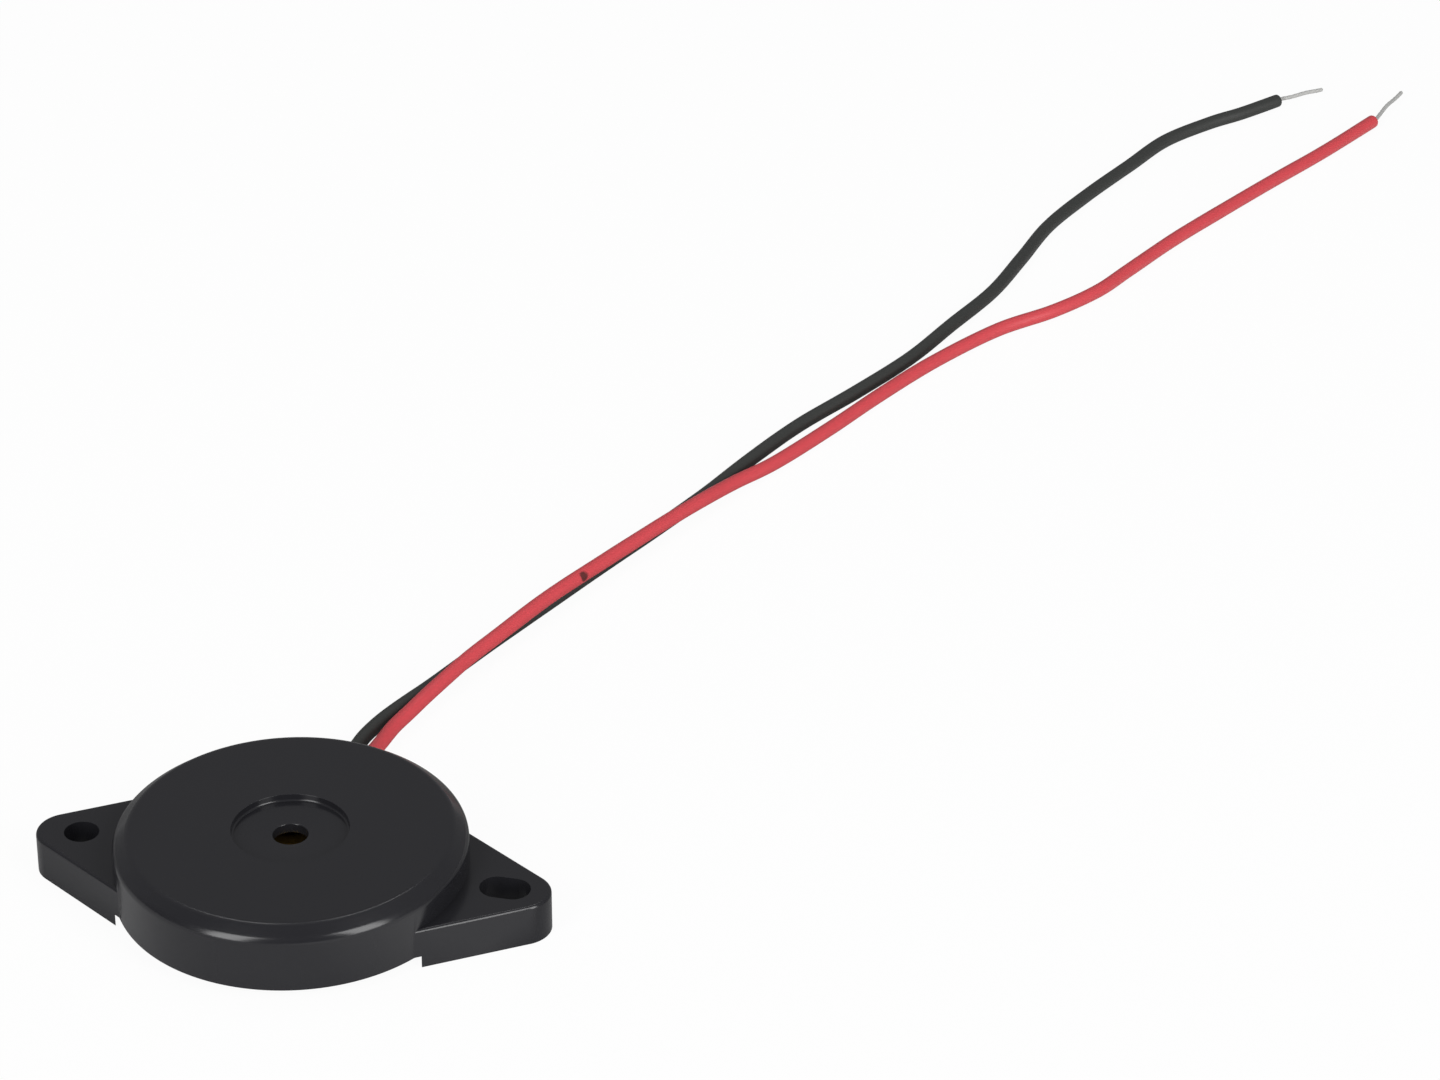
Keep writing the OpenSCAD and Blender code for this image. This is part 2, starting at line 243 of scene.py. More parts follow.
# %% The leads
def make_lead(name, line, seed):
    """Tube of insulation with swellings of about 0.01 mm, the sum of three sines of the length
    run along it. Its last c = 0.2 mm are rounded: at angle t the ring is c * sin t on and
    c * (1 - cos t) smaller."""
    run = np.concatenate([[0], np.cumsum(np.linalg.norm(np.diff(line, axis=0), axis=1))])
    waves = (np.sin(run / 1.9 + seed) + 0.7 * np.sin(run / 4.3 + 2 * seed)
             + 0.5 * np.sin(run / 0.83))
    radius = LEAD_R - 0.007 + 0.0035 * waves
    c, t = 0.2, np.radians([15, 32, 50, 70, 90])
    last = (line[-1] - line[-2]) / np.linalg.norm(line[-1] - line[-2])
    body_line = np.vstack([line[:-1], line[-1:] - c * last])
    on = np.concatenate([c * np.sin(t), [c + 0.0003, c + 0.0005]])
    ends = np.concatenate([radius[-1] - c * (1 - np.cos(t)), [0.14, 0.001]])
    full = np.vstack([body_line, body_line[-1:] + on[:, None] * last])
    points = sweep(full, np.concatenate([radius, ends])[:, None], 24)
    start = line[:1, None] + 0.02 * (points[:1] - line[:1, None])
    return grid_object(name, np.concatenate([start, points]))


red_lead = make_lead("red_insulation", red_line, 0.4)
black_lead = make_lead("black_insulation", black_line, 2.1)
print("points in a lead:", len(red_lead.data.vertices))


# %% [markdown]
# ## Bare tinned ends
#
# At the far end the insulation is stripped and the seven thin strands are twisted together and
# dipped in solder. The bundle could be seven separate helical wires, but solder fills the
# grooves between them, so it is one tube whose section has six shallow lobes that turn as they
# go along, and that narrows a little at its tip.


# %% The twisted bundle's formula
def make_bundle(name, route, seed):
    """Tube with radius r = R * (1 - 0.08 * |sin(3 * (a - twist))|), where twist grows along the
    line by one turn in 3.4 mm and R is half the strands' width and 0.02 mm of solder. It wanders
    by 0.03 mm up and down, and its last 0.12 mm are rounded off."""
    flat = smooth_line(route, 0.06)
    run = np.concatenate([[0], np.cumsum(np.linalg.norm(np.diff(flat, axis=0), axis=1))])
    wave = 0.03 * np.sin(run / 0.45 + seed) * np.clip(run, 0, 1)
    line = np.column_stack([flat, FLOOR_Z + wave])
    sides, turn_length, solder = 36, 3.4, 0.02
    angle = 2 * np.pi * np.arange(sides)[None] / sides
    twist = 2 * np.pi * run[:, None] / turn_length
    lobes = 1 - 0.08 * np.abs(np.sin(3 * (angle - twist)))
    end = np.clip((run[-1] - run) / 0.12, 0, 1)[:, None]
    radius = (STRAND_D / 2 + solder) * lobes * (0.35 + 0.65 * np.sqrt(end))
    points = sweep(line, radius, sides)
    cap = line[-1:, None] + 0.01 * (points[-1:] - line[-1:, None])
    start = line[:1, None] + 0.01 * (points[:1] - line[:1, None])
    return grid_object(name, np.concatenate([start, points, cap]))


red_tip = make_bundle("red_tinned_end", red_strands, 0.3)
black_tip = make_bundle("black_tinned_end", black_strands, 1.7)
print("points in a bare end:", len(red_tip.data.vertices), "and", len(black_tip.data.vertices))

# %% [markdown]
# ## What rides on what
#
# Nothing moves in this part, so every piece rides on its one body. A new piece takes the place
# of its solid, which then isn't shown.

# %% Leads take their solids' places
for piece, node, slot in ((red_lead, "red_lead", "red_insulation"),
                          (black_lead, "black_lead", "black_insulation"),
                          (red_tip, "red_tip", "tinned_copper"),
                          (black_tip, "black_tip", "tinned_copper")):
    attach(piece, "root")
    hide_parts(node)
print("cords:", red_lead.name, "and", black_lead.name)

# %% [markdown]
# ## Rounded corners
#
# The housing is moulded in a steel tool, and no edge of a moulding is perfectly sharp. A bevel
# modifier could round the edges of a blocky mesh. Here the outline itself is drawn with an arc
# in each corner, so each edge gets its own radius and the light runs over it evenly.


# %% An outline with an arc in each corner
def rounded(corners, steps=8):
    """Closed outline through corners (x, y, radius). Each corner becomes an arc that touches
    both of its sides: its centre lies on the half-angle line, radius / sin(half angle) away."""
    c = np.array(corners, dtype=float)
    spot, r = c[:, :2], c[:, 2:]
    back, on = np.roll(spot, 1, axis=0) - spot, np.roll(spot, -1, axis=0) - spot
    back /= np.linalg.norm(back, axis=1)[:, None]
    on /= np.linalg.norm(on, axis=1)[:, None]
    half = np.arccos(np.clip((back * on).sum(1), -1, 1))[:, None] / 2
    middle = back + on
    middle /= np.linalg.norm(middle, axis=1)[:, None]
    centre = spot + middle * r / np.sin(half)
    start, end = spot + back * r / np.tan(half) - centre, spot + on * r / np.tan(half) - centre
    t = np.linspace(0, 1, steps + 1)[None, :, None]
    sweep_angle = np.pi / 2 - half[:, None]
    arc = (start[:, None] * np.sin((1 - t) * 2 * sweep_angle)
           + end[:, None] * np.sin(t * 2 * sweep_angle)) / np.sin(2 * sweep_angle)
    points = centre[:, None] + arc
    keep = np.ones((len(c), steps + 1), dtype=bool)
    keep[r[:, 0] == 0, 1:] = False
    points[r[:, 0] == 0] = spot[r[:, 0] == 0, None]
    return points[keep]


def spun(outline, sides):
    """Grid from an outline (radius, height) turned about the Z axis: point (i, j) is
    (r_i cos a_j, r_i sin a_j, z_i)."""
    angle = 2 * np.pi * np.arange(sides) / sides
    r, z = outline[:, 0, None], outline[:, 1, None]
    return np.stack([r * np.cos(angle), r * np.sin(angle), z + 0 * angle], axis=2)


# %% [markdown]
# ## The round body
#
# The body is a round lid: a side wall, a sloped shoulder, and a flat top with a shallow round
# recess about the sound hole. Seen in section it is one closed outline, and turning that
# outline about the axis gives the whole body, inside and out. The shoulder meets the side in a
# wide arc, which mirrors the lamps as broad dashes, and it meets the top in a narrower one,
# which mirrors them as thin dashes. The recess's wall has a small arc at its foot too, where
# two short dashes shine.

# %% The body's section
body_outline = rounded([
    (SOUND_R, ROOF_Z, 0.05), (SOUND_R, RECESS_Z, 0.06),
    (RECESS_R, RECESS_Z, 0.15), (RECESS_R, TOP_Z, 0.02),
    (SHOULDER_R, TOP_Z, 0.6), (BODY_R, SHOULDER_Z, 0.8),
    (BODY_R, RIM_Z, 0.03), (BORE_R, RIM_Z, 0.03),
    (BORE_R, COVER_Z, 0.02), (COVER_R, COVER_Z, 0.02),
    (COVER_R, LEDGE_Z, 0.02), (LEDGE_R, LEDGE_Z, 0.02),
    (LEDGE_R, ROOF_Z, 0.1)], 12)
body = grid_object("moulded_body", spun(body_outline, 256), wrap_rows=True)
print("body outline points:", len(body_outline))

# %% [markdown]
# ## The ears
#
# Each ear is a flat plate that narrows from the body to a rounded end. Its outline is the
# tight loop round two circles, a large one about the body's centre and a small one at the
# tip. Every line parallel to such an outline is the loop round two smaller circles, so a
# rounded top edge comes from shrinking both circles a little while climbing.


# %% The loop round two circles
def ear_loop(inset, steps=24):
    """Outline at distance inset inside the ear's edge: arcs about (0, 0) and (TIP_X, 0), joined
    by their common tangents, which stand at the angle acos((R - r) / d) to the X axis."""
    lean = np.arccos((ROOT_R - TIP_R) / TIP_X)
    tip = np.linspace(-lean, lean, steps)
    root = np.linspace(lean, 2 * np.pi - lean, steps)
    near = (ROOT_R - inset) * np.column_stack([np.cos(root), np.sin(root)])
    far = (TIP_R - inset) * np.column_stack([np.cos(tip), np.sin(tip)]) + [TIP_X, 0]
    return np.vstack([far, near])


def make_ear(name, side):
    """Closed plate of stacked loops. Its lower edge has a radius of 0.02 mm and its upper one of
    0.25 mm: at angle t on an edge of radius e the inset is e * (1 - cos t)."""
    turn = np.linspace(0, np.pi / 2, 7)
    low, high = 0.02, 0.25
    inset = np.concatenate([low * (1 - np.sin(turn)), high * (1 - np.cos(turn))])
    z = np.concatenate([low * (1 - np.cos(turn)), EAR_T - high * (1 - np.sin(turn))])
    flat = [ear_loop(d) for d in inset]
    loops = np.stack([np.column_stack([loop, np.full(len(loop), h)]) for loop, h in zip(flat, z)])
    loops[:, :, 0] *= side
    mesh = bpy.data.meshes.new(name)
    rows, columns, _ = loops.shape
    i, j = [a.ravel() for a in np.meshgrid(np.arange(rows - 1), np.arange(columns), indexing="ij")]
    j2 = (j + 1) % columns
    low_edge, high_edge = i * columns, (i + 1) * columns
    quads = np.stack([low_edge + j, low_edge + j2, high_edge + j2, high_edge + j], 1)
    lids = [list(range(columns))[::-1], list(range((rows - 1) * columns, rows * columns))]
    mesh.from_pydata((loops.reshape(-1, 3) * MM).tolist(), [], quads.tolist() + lids)
    return tidy_mesh(name, mesh)


ears = [make_ear("right_ear", 1), make_ear("left_ear", -1)]
print("ear tip at x =", TIP_X + TIP_R, "mm")

# %% [markdown]
# ## One moulding
#
# Body and ears come out of the tool as one piece. The screw holes, the slot, the step under
# the ears and the notch for the leads are gaps that pins and blocks of the tool leave. The same
# works here: the pieces are united and the tool's pins are cut away, once, and the result is
# kept as a plain mesh. The flat faces then get the larger say in the shading, so that they look
# flat right up to their rounded edges.


# %% Pins and blocks to cut away
def prism(name, outline, z0, z1):
    """Closed upright block: an outline (x, y) in mm between two heights."""
    n = len(outline)
    ring = np.vstack([np.column_stack([outline, np.full(n, z)]) for z in (z0, z1)])
    k = np.arange(n)
    sides = np.stack([k, (k + 1) % n, (k + 1) % n + n, k + n], 1).tolist()
    mesh = bpy.data.meshes.new(name)
    mesh.from_pydata((ring * MM).tolist(), [], sides + [list(k[::-1]), list(k + n)])
    return tidy_mesh(name, mesh)


def circle(x, radius, sides, reach=0.0):
    """Outline of a circle at (x, 0), or of a slot whose ends lie reach mm either way."""
    a = 2 * np.pi * (np.arange(sides) + 0.5) / sides
    return np.column_stack([x + radius * np.cos(a) + np.sign(np.cos(a)) * reach,
                            radius * np.sin(a)])


# %% The steps of the moulding
LOW, HIGH = -1, 4                       # heights below and above both ears
inside = circle(0, 11.35, 128)          # inside this the body's own wall holds the ear
under_body = circle(0, 12.2, 256)       # the ear's step clears the wall by 0.2 mm
notch = np.array([[-1.5, 9.0], [1.5, 9.0], [1.5, 14.0], [-1.5, 14.0]])
NOTCH_Z = 3.45
steps = [("DIFFERENCE", ears[0], prism("inside_right", inside, LOW, HIGH)),
         ("DIFFERENCE", ears[1], prism("inside_left", inside, LOW, HIGH)),
         ("DIFFERENCE", ears[0], prism("step_right", under_body, LOW, RIM_Z)),
         ("DIFFERENCE", ears[1], prism("step_left", under_body, LOW, RIM_Z)),
         ("DIFFERENCE", ears[0],
          prism("slot_pin", circle(HOLE_X, SCREW_R, 64, SLOT_REACH), LOW, HIGH)),
         ("DIFFERENCE", ears[1], prism("hole_pin", circle(-HOLE_X, SCREW_R, 64), LOW, HIGH)),
         ("DIFFERENCE", body, prism("lead_block", notch, LOW, NOTCH_Z)),
         ("UNION", body, ears[0]), ("UNION", body, ears[1])]
print("steps:", len(steps))


# %% Cut and join
def combine(operation, target, tool):
    """Applies one boolean step and keeps its result as target's plain mesh."""
    change = target.modifiers.new("cut", "BOOLEAN")
    change.operation, change.object, change.solver = operation, tool, "EXACT"
    seen = bpy.context.evaluated_depsgraph_get()
    seen.update()
    result = bpy.data.meshes.new_from_object(target.evaluated_get(seen))
    target.modifiers.clear()
    target.data = result
    bpy.data.objects.remove(tool)


for operation, target, tool in steps:
    combine(operation, target, tool)
body.data.polygons.foreach_set("use_smooth", np.ones(len(body.data.polygons), dtype=bool))
body.data.set_sharp_from_angle(angle=np.radians(35))
flatter = body.modifiers.new("flat_faces", "WEIGHTED_NORMAL")
flatter.keep_sharp = True
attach(body, "root")
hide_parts("housing")
print("faces of the moulding:", len(body.data.polygons))

# %% [markdown]
# ## Colours and nodes
#
# Colours are written as they look on a screen, in hex. The renderer works with amounts of
# light, so one function turns each hex colour to linear values. A second one adds a node with
# its settings and links, and is all that the materials below need.


# %% Colour and node helpers
def linear(hexed):
    """sRGB hex to linear colour: v / 12.92 below 0.04045, else ((v + 0.055) / 1.055) ** 2.4."""
    v = np.array([int(hexed[k:k + 2], 16) for k in (1, 3, 5)]) / 255
    v = np.where(v <= 0.04045, v / 12.92, ((v + 0.055) / 1.055) ** 2.4)
    return (*[float(x) for x in v], 1.0)


def node(tree, kind, settings=None, links=None, **values):
    """Adds a node. settings are its properties, values its sockets' numbers, and links maps a
    socket's name or number to the output that feeds it."""
    new = tree.nodes.new(kind)
    for key, value in (settings or {}).items():
        setattr(new, key, value)
    for key, value in values.items():
        new.inputs[key.replace("_", " ")].default_value = value
    for key, source in (links or {}).items():
        tree.links.new(source, new.inputs[key])
    return new


def blank_material(name):
    """A material with an empty node tree and its output node."""
    made = bpy.data.materials.new(name)
    made.use_nodes = True
    made.node_tree.nodes.clear()
    return made, made.node_tree, made.node_tree.nodes.new("ShaderNodeOutputMaterial")


print("middle grey #808080 is", round(linear("#808080")[0], 3), "of full light")


# %% [markdown]
# ## Black moulded plastic
#
# The housing is a black thermoplastic such as ABS, moulded in a tool with a fine satin finish.
# It reflects like any plastic, about 4 % straight on and much more at a glance, and the fine
# finish blurs the reflection. A grain breaks it up very slightly. The real grain is only some
# 0.03 mm wide, too fine to show, so it is drawn at 0.12 mm. Soft clouds 4 mm wide show where
# the plastic filled the tool. The cover is the same plastic from a rougher tool, and the
# sealant in the notch is poured and cures with a dull, uneven skin.

# %% Satin black plastic
def satin_plastic(name, colour, rough, spread, grain_mm, depth_mm, shine=0.5):
    """Principled plastic: roughness wanders by spread over clouds of 4 mm, and a grain of
    grain_mm with depth_mm roughens the surface."""
    made, tree, out = blank_material(name)
    at = node(tree, "ShaderNodeTexCoord").outputs["Object"]
    clouds = node(tree, "ShaderNodeTexNoise", links={"Vector": at}, Scale=1 / (4 * MM), Detail=3)
    rough_map = node(tree, "ShaderNodeMapRange", links={"Value": clouds.outputs["Fac"]},
                     From_Min=0.3, From_Max=0.7, To_Min=rough - spread, To_Max=rough + spread)
    grain = node(tree, "ShaderNodeTexNoise", links={"Vector": at},
                 Scale=1 / (grain_mm * MM), Detail=2)
    bump = node(tree, "ShaderNodeBump", links={"Height": grain.outputs["Fac"]}, Strength=0.6,
                Distance=depth_mm * MM)
    shader = node(tree, "ShaderNodeBsdfPrincipled",
                  links={"Roughness": rough_map.outputs["Result"],
                         "Normal": bump.outputs["Normal"]},
                  Base_Color=linear(colour), IOR=1.46, Specular_IOR_Level=shine)
    tree.links.new(shader.outputs["BSDF"], out.inputs["Surface"])
    return made


# A smooth tool: the rim mirrors the lamps as dashes with soft ends.
black_abs = satin_plastic("moulded_black_abs", "#1d1d20", 0.2, 0.02, 0.12, 0.002, 0.42)
# A rougher tool: an even dark grey without a mirror image.
cover_abs = satin_plastic("moulded_black_cover", "#262628", 0.45, 0.03, 0.12, 0.006)
# A poured and cured skin: dull, with slow waves.
seal_rubber = satin_plastic("cured_black_sealant", "#2b2b2c", 0.5, 0.05, 0.3, 0.01)
body.data.materials.clear()
body.data.materials.append(black_abs)
print("plastics:", black_abs.name, cover_abs.name, seal_rubber.name)


# %% [markdown]
# ## Soft wire insulation
#
# The insulation is soft PVC, pressed out of a die at speed. Its pigment is stirred in, so its
# colour is nearly even, with a cloudiness about 1.2 mm wide, and its skin is a little glossy
# with a blurred highlight. The red one carries a small brown speck, which the picture shows
# about 30 mm from the housing.


# %% Insulation
def soft_pvc(name, colour, rough, stain_at=None):
    """Principled soft plastic whose colour wanders by 6 %, with an optional brown speck
    centred at stain_at (m). The speck fades from 0.12 to 0.28 mm, over a ragged distance."""
    made, tree, out = blank_material(name)
    at = node(tree, "ShaderNodeTexCoord").outputs["Object"]
    uneven = node(tree, "ShaderNodeTexNoise", links={"Vector": at}, Scale=1 / (1.2 * MM), Detail=3)
    tone = node(tree, "ShaderNodeMix", {"data_type": "RGBA"}, {"Factor": uneven.outputs["Fac"]})
    c = np.array(linear(colour))
    tone.inputs[6].default_value = (*(c[:3] * 0.94), 1)
    tone.inputs[7].default_value = (*(c[:3] * 1.06), 1)
    colour_out = tone.outputs[2]
    if stain_at is not None:
        off = node(tree, "ShaderNodeVectorMath", {"operation": "SUBTRACT"}, {0: at})
        off.inputs[1].default_value = stain_at
        ragged = node(tree, "ShaderNodeTexNoise", links={"Vector": at},
                      Scale=1 / (0.3 * MM), Detail=2)
        far = node(tree, "ShaderNodeVectorMath", {"operation": "LENGTH"}, {0: off.outputs[0]})
        wobble = node(tree, "ShaderNodeMath", {"operation": "MULTIPLY_ADD"},
                      {0: ragged.outputs["Fac"], 2: far.outputs["Value"]})
        wobble.inputs[1].default_value = -0.35 * MM
        speck = node(tree, "ShaderNodeMapRange", links={"Value": wobble.outputs[0]},
                     From_Min=0.12 * MM, From_Max=0.28 * MM, To_Min=0.9, To_Max=0.0)
        stained = node(tree, "ShaderNodeMix", {"data_type": "RGBA"},
                       {"Factor": speck.outputs["Result"]})
        tree.links.new(colour_out, stained.inputs[6])
        stained.inputs[7].default_value = linear("#3c1410")
        colour_out = stained.outputs[2]
    bump = node(tree, "ShaderNodeBump", links={"Height": uneven.outputs["Fac"]}, Strength=0.5,
                Distance=0.01 * MM)
    shader = node(tree, "ShaderNodeBsdfPrincipled",
                  links={"Base Color": colour_out, "Normal": bump.outputs["Normal"]},
                  Roughness=rough, IOR=1.5)
    tree.links.new(shader.outputs["BSDF"], out.inputs["Surface"])
    return made


SPECK_Y, SPECK_OFF = 41.2, (0.44, -0.22, 0.24)      # its place along the lead and on its skin
nearest = red_line[np.abs(red_line[:, 1] - SPECK_Y).argmin()]
# Fresh from the die: an even red with a soft highlight along its top.
red_pvc = soft_pvc("soft_red_pvc", "#c03e45", 0.42, tuple((nearest + np.array(SPECK_OFF)) * MM))
# The same plastic with soot: it looks duller, because nothing shines back from below its skin.
black_pvc = soft_pvc("soft_black_pvc", "#282a28", 0.55)
red_lead.data.materials.append(red_pvc)
black_lead.data.materials.append(black_pvc)
print("insulation:", red_pvc.name, black_pvc.name)


# %% [markdown]
# ## Metals and the parts inside
#
# The strands are copper with a skin of solder: pale grey metal with a dull surface. Inside the
# housing are a rolled brass disc, a cream ceramic disc with a printed silver face, and a ring
# of silicone adhesive. They only show through the sound hole or not at all, but each gets its
# own finish, since the part may be looked at with its housing off.


# %% Metal and ceramic finishes
def metal(name, colour, rough, grain_mm, stretch=(1, 1, 1)):
    """Principled metal whose roughness follows a noise of grain_mm, stretched by factors."""
    made, tree, out = blank_material(name)
    at = node(tree, "ShaderNodeTexCoord").outputs["Object"]
    turned = node(tree, "ShaderNodeMapping", links={"Vector": at})
    turned.inputs["Scale"].default_value = stretch
    grain = node(tree, "ShaderNodeTexNoise", links={"Vector": turned.outputs[0]},
                 Scale=1 / (grain_mm * MM), Detail=3)
    rough_map = node(tree, "ShaderNodeMapRange", links={"Value": grain.outputs["Fac"]},
                     From_Min=0.3, From_Max=0.7, To_Min=rough - 0.08, To_Max=rough + 0.08)
    bump = node(tree, "ShaderNodeBump", links={"Height": grain.outputs["Fac"]}, Strength=0.4,
                Distance=0.004 * MM)
    shader = node(tree, "ShaderNodeBsdfPrincipled",
                  links={"Roughness": rough_map.outputs["Result"],
                         "Normal": bump.outputs["Normal"]},
                  Base_Color=linear(colour), Metallic=1.0)
    tree.links.new(shader.outputs["BSDF"], out.inputs["Surface"])
    return made


# Dipped strands: many small facets and a tarnish, so light is spread nearly as on a matt grey.
tinned = metal("tinned_copper_strands", "#c8c8c6", 0.84, 0.15)
# A frozen drop: nearly a mirror, with slow dimples.
solder = metal("bright_solder", "#c9cacb", 0.25, 0.4)
# Rolled sheet: streaks along the rolling draw the highlight out.
brass = metal("rolled_brass_sheet", "#c9a54e", 0.35, 0.3, (1, 8, 1))
# Printed and fired paste: pale, grainy and matt.
silver = metal("fired_silver_print", "#c4c4c4", 0.6, 0.05)
# Unglazed fired ceramic: matt cream with a fine tooth.
ceramic = satin_plastic("fired_cream_ceramic", "#d8d2b8", 0.6, 0.05, 0.06, 0.003)
# Adhesive that sets in air: a soft sheen over gentle lumps.
silicone = satin_plastic("white_silicone", "#d9d6cc", 0.4, 0.05, 0.4, 0.01)
for piece in (red_tip, black_tip):
    piece.data.materials.append(tinned)

# %% Finishes of the solids that stay
finishes = {"back_cover": cover_abs, "bonding_bead": silicone, "diaphragm": brass,
            "piezo_ceramic": ceramic, "silver_electrode": silver, "lead_seal": seal_rubber,
            "red_inner_end": tinned, "black_inner_end": tinned,
            "red_solder": solder, "black_solder": solder}
for name, finish in finishes.items():
    for place in nodes[name].material_slots:
        place.material = finish
    if not nodes[name].material_slots:
        nodes[name].data.materials.append(finish)
print("finishes on solids:", len(finishes))

# %% [markdown]
# ## Floor
#
# The part lies on a white table that runs on into a white background. A white floor lit like
# the part would still come out grey in places, so the camera sees it mostly as plain white, and
# the rest as a real matt surface, which keeps the soft shadow under the part. In the rays that
# the part's gloss sends down, the table is the matt surface with a little of the plain white,
# and there it is painted darker behind the housing than out along the leads: a painted shade in
# what the gloss mirrors. In front of the right ear it is painted lighter, a painted reflection
# that brightens the ear's front side and the wall beside it.

# %% Floor
REACH = 1500                            # far past every view's edge, in mm
square = np.array([[-1, -1], [1, -1], [1, 1], [-1, 1]]) * REACH
square = np.column_stack([square, np.full(4, -0.02)])
floor_mesh = bpy.data.meshes.new("floor")
floor_mesh.from_pydata((square * MM).tolist(), [], [(0, 1, 2, 3)])
floor = bpy.data.objects.new("floor", floor_mesh)
bpy.context.scene.collection.objects.link(floor)


# In glossy rays the larger share of plain white in front of the right ear is a painted highlight on
# the ear's front.
SEEN_SHARE, GLOSS_SHARE = 0.95, 0.12    # how much of the table is plain white in each ray
CORNER_SHARE = 0.85                     # and in glossy rays in front of the right ear,
CORNER_X, CORNER_Y = (6, 15), (-4, -1.5)    # where it comes in over these stretches, in mm
GREY_FROM, GREY_TO = -50, 150           # mm along Y, from in front of the housing to the tips
# Painted reflection: the part's gloss mirrors these greys of the table, and the dark ones paint
# shade behind the housing.
painted_reflection_greys = {-8: "#c4c4c4", 8: "#686868", 50: "#686868", 95: "#d4d4d4"}


# %% The table's material
def white_floor():
    """Matt white, mixed with plain white light: by SEEN_SHARE for the camera and clear rays.
    In glossy rays the matt part follows the listed greys along Y, a painted shade in what the
    gloss mirrors, and the plain white's share is GLOSS_SHARE, and up to CORNER_SHARE in front of
    the right ear, a painted highlight on the ear's front."""
    made, tree, out = blank_material("white_table")
    path = node(tree, "ShaderNodeLightPath")
    apart = node(tree, "ShaderNodeSeparateXYZ",
                 links={0: node(tree, "ShaderNodeTexCoord").outputs["Object"]})
    along = node(tree, "ShaderNodeMapRange", links={"Value": apart.outputs["Y"]},
                 From_Min=GREY_FROM * MM, From_Max=GREY_TO * MM)
    # Painted shade: these are the greys that the part's gloss mirrors.
    greys = node(tree, "ShaderNodeValToRGB", links={0: along.outputs["Result"]})
    greys.color_ramp.elements[0].color = linear("#c4c4c4")
    greys.color_ramp.elements[1].color = linear("#d4d4d4")
    for y, shade in painted_reflection_greys.items():
        place = (y - GREY_FROM) / (GREY_TO - GREY_FROM)
        greys.color_ramp.elements.new(place).color = linear(shade)
    tone = node(tree, "ShaderNodeMix", {"data_type": "RGBA"},
                {"Factor": path.outputs["Is Glossy Ray"], 7: greys.outputs["Color"]})
    tone.inputs[6].default_value = linear("#e0e0e0")
    # Painted highlight: in glossy rays the table turns whiter in front of the right ear, which
    # lights the ear's front in its gloss.
    to_right = node(tree, "ShaderNodeMapRange", links={"Value": apart.outputs["X"]},
                    From_Min=CORNER_X[0] * MM, From_Max=CORNER_X[1] * MM,
                    To_Min=0.0, To_Max=CORNER_SHARE)
    in_front = node(tree, "ShaderNodeMapRange", links={"Value": apart.outputs["Y"]},
                    From_Min=CORNER_Y[0] * MM, From_Max=CORNER_Y[1] * MM,
                    To_Min=1.0, To_Max=0.0)
    corner = node(tree, "ShaderNodeMath", {"operation": "MULTIPLY"},
                  {0: to_right.outputs["Result"], 1: in_front.outputs["Result"]})
    white_part = node(tree, "ShaderNodeMath", {"operation": "MAXIMUM"}, {0: corner.outputs[0]})
    white_part.inputs[1].default_value = GLOSS_SHARE
    mirrored = node(tree, "ShaderNodeMath", {"operation": "MULTIPLY"},
                    {0: path.outputs["Is Glossy Ray"], 1: white_part.outputs[0]})
    seen = node(tree, "ShaderNodeMath", {"operation": "MAXIMUM"},
                {0: path.outputs["Is Camera Ray"], 1: path.outputs["Is Transmission Ray"]})
    direct = node(tree, "ShaderNodeMath", {"operation": "MULTIPLY"}, {0: seen.outputs[0]})
    direct.inputs[1].default_value = SEEN_SHARE
    share = node(tree, "ShaderNodeMath", {"operation": "MAXIMUM"},
                 {0: direct.outputs[0], 1: mirrored.outputs[0]})
    matt = node(tree, "ShaderNodeBsdfDiffuse", links={"Color": tone.outputs[2]})
    plain = node(tree, "ShaderNodeEmission", Color=(1, 1, 1, 1), Strength=1.0)
    both = node(tree, "ShaderNodeMixShader",
                links={0: share.outputs[0], 1: matt.outputs[0], 2: plain.outputs[0]})
    tree.links.new(both.outputs[0], out.inputs["Surface"])
    return made


floor_mesh.materials.append(white_floor())
print("table:", floor_mesh.materials[0].name)

# %% [markdown]
# ## Light
#
# The picture was lit by two tall soft boxes at the left and right of the camera. They show as
# two bright dashes low on the rim, and between them the rim stays dark. Two narrow strips high
# up behind the part make the thin dashes where the slope meets the top. One broad lamp would be
# simpler, but it would show as one long streak. All four are plain white.


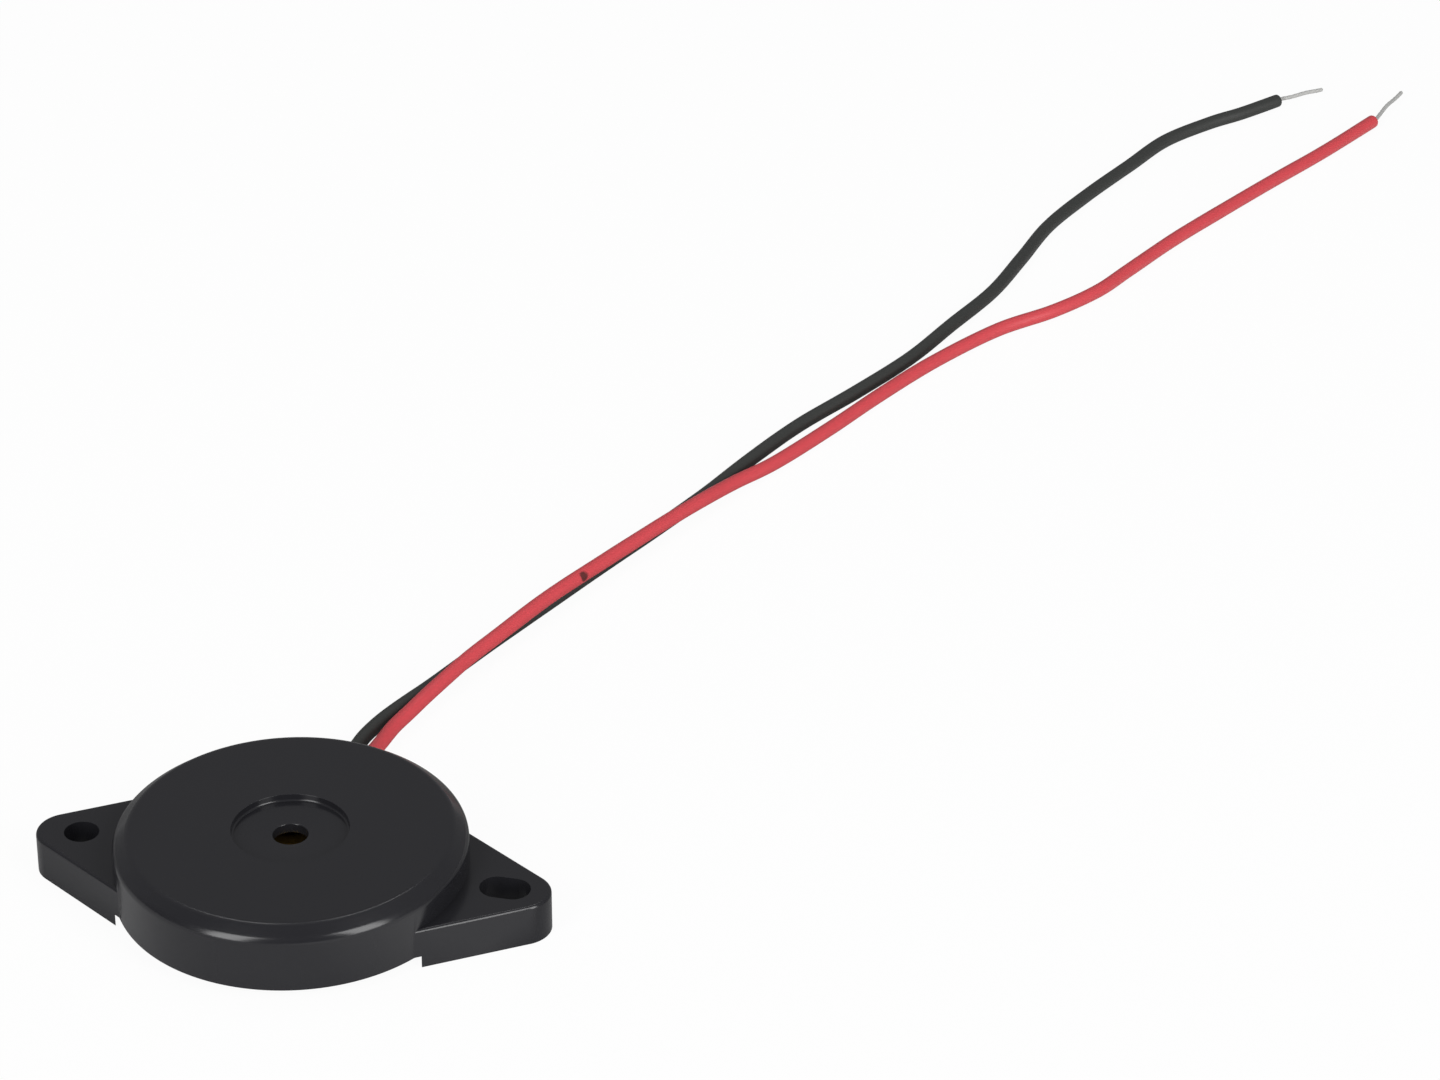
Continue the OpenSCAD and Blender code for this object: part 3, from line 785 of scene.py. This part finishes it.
# %% Lamps
def soft_box(name, azimuth, height, distance, size, brightness):
    """Area lamp at azimuth and height (degrees) seen from the part, distance in m, facing it.
    Its power is brightness * pi * area, so that its face shows with that brightness."""
    a, h = np.radians(azimuth), np.radians(height)
    ray = np.array([np.cos(h) * np.cos(a), np.cos(h) * np.sin(a), np.sin(h)])
    data = bpy.data.lights.new(name, "AREA")
    data.shape, data.size, data.size_y = "RECTANGLE", size[0], size[1]
    data.energy = brightness * np.pi * size[0] * size[1]
    lamp = bpy.data.objects.new(name, data)
    bpy.context.scene.collection.objects.link(lamp)
    side = np.cross([0, 0, 1], ray)
    side /= np.linalg.norm(side)
    turn = np.eye(4)
    turn[:3, 0], turn[:3, 1], turn[:3, 2] = side, np.cross(ray, side), ray
    turn[:3, 3] = ray * distance
    lamp.matrix_world = Matrix(turn.tolist())
    lamp.visible_camera = False
    return lamp


for name, azimuth in (("left_soft_box", -114), ("right_soft_box", -28)):
    soft_box(name, azimuth, 27, 0.9, (0.36, 0.82), 7.6)
for name, azimuth in (("left_strip", 126), ("right_strip", 80)):
    soft_box(name, azimuth, 64, 0.9, (0.05, 0.36), 6.0)

# %% [markdown]
# ## Room
#
# Gloss mirrors the room, so the room's grey decides how dark the black top looks. A plain grey
# world would do for the top, but the real room is darker near the table and behind the camera,
# and lighter overhead. The camera itself sees the room as white, like the table.

# %% Room
world = bpy.data.worlds.new("room")
bpy.context.scene.world = world
world.use_nodes = True
tree = world.node_tree
tree.nodes.clear()
way = node(tree, "ShaderNodeTexCoord").outputs["Generated"]
apart = node(tree, "ShaderNodeSeparateXYZ", links={0: way})
room = node(tree, "ShaderNodeValToRGB", links={0: apart.outputs["Z"]})
ramp = room.color_ramp
ramp.elements[0].position, ramp.elements[0].color = 0.0, (0.22, 0.22, 0.22, 1)
ramp.elements[1].position, ramp.elements[1].color = 0.97, (0.46, 0.46, 0.47, 1)
for height, grey in ((0.3, 0.3), (0.55, 0.3), (0.85, 0.34)):
    ramp.elements.new(height).color = (grey, grey, grey * 1.02, 1)
front = node(tree, "ShaderNodeMapRange", links={"Value": apart.outputs["Y"]},
             From_Min=-0.3, From_Max=0.05, To_Min=0.45, To_Max=1.0)
path = node(tree, "ShaderNodeLightPath")
lit = node(tree, "ShaderNodeBackground",
           links={"Color": room.outputs["Color"], "Strength": front.outputs["Result"]})
white = node(tree, "ShaderNodeBackground", Color=(1, 1, 1, 1), Strength=1.0)
pick = node(tree, "ShaderNodeMixShader",
            links={0: path.outputs["Is Camera Ray"], 1: lit.outputs[0], 2: white.outputs[0]})
out = node(tree, "ShaderNodeOutputWorld", links={0: pick.outputs[0]})
bpy.context.scene.view_settings.view_transform = "Standard"
print("room:", world.name, "with", len(ramp.elements), "greys")
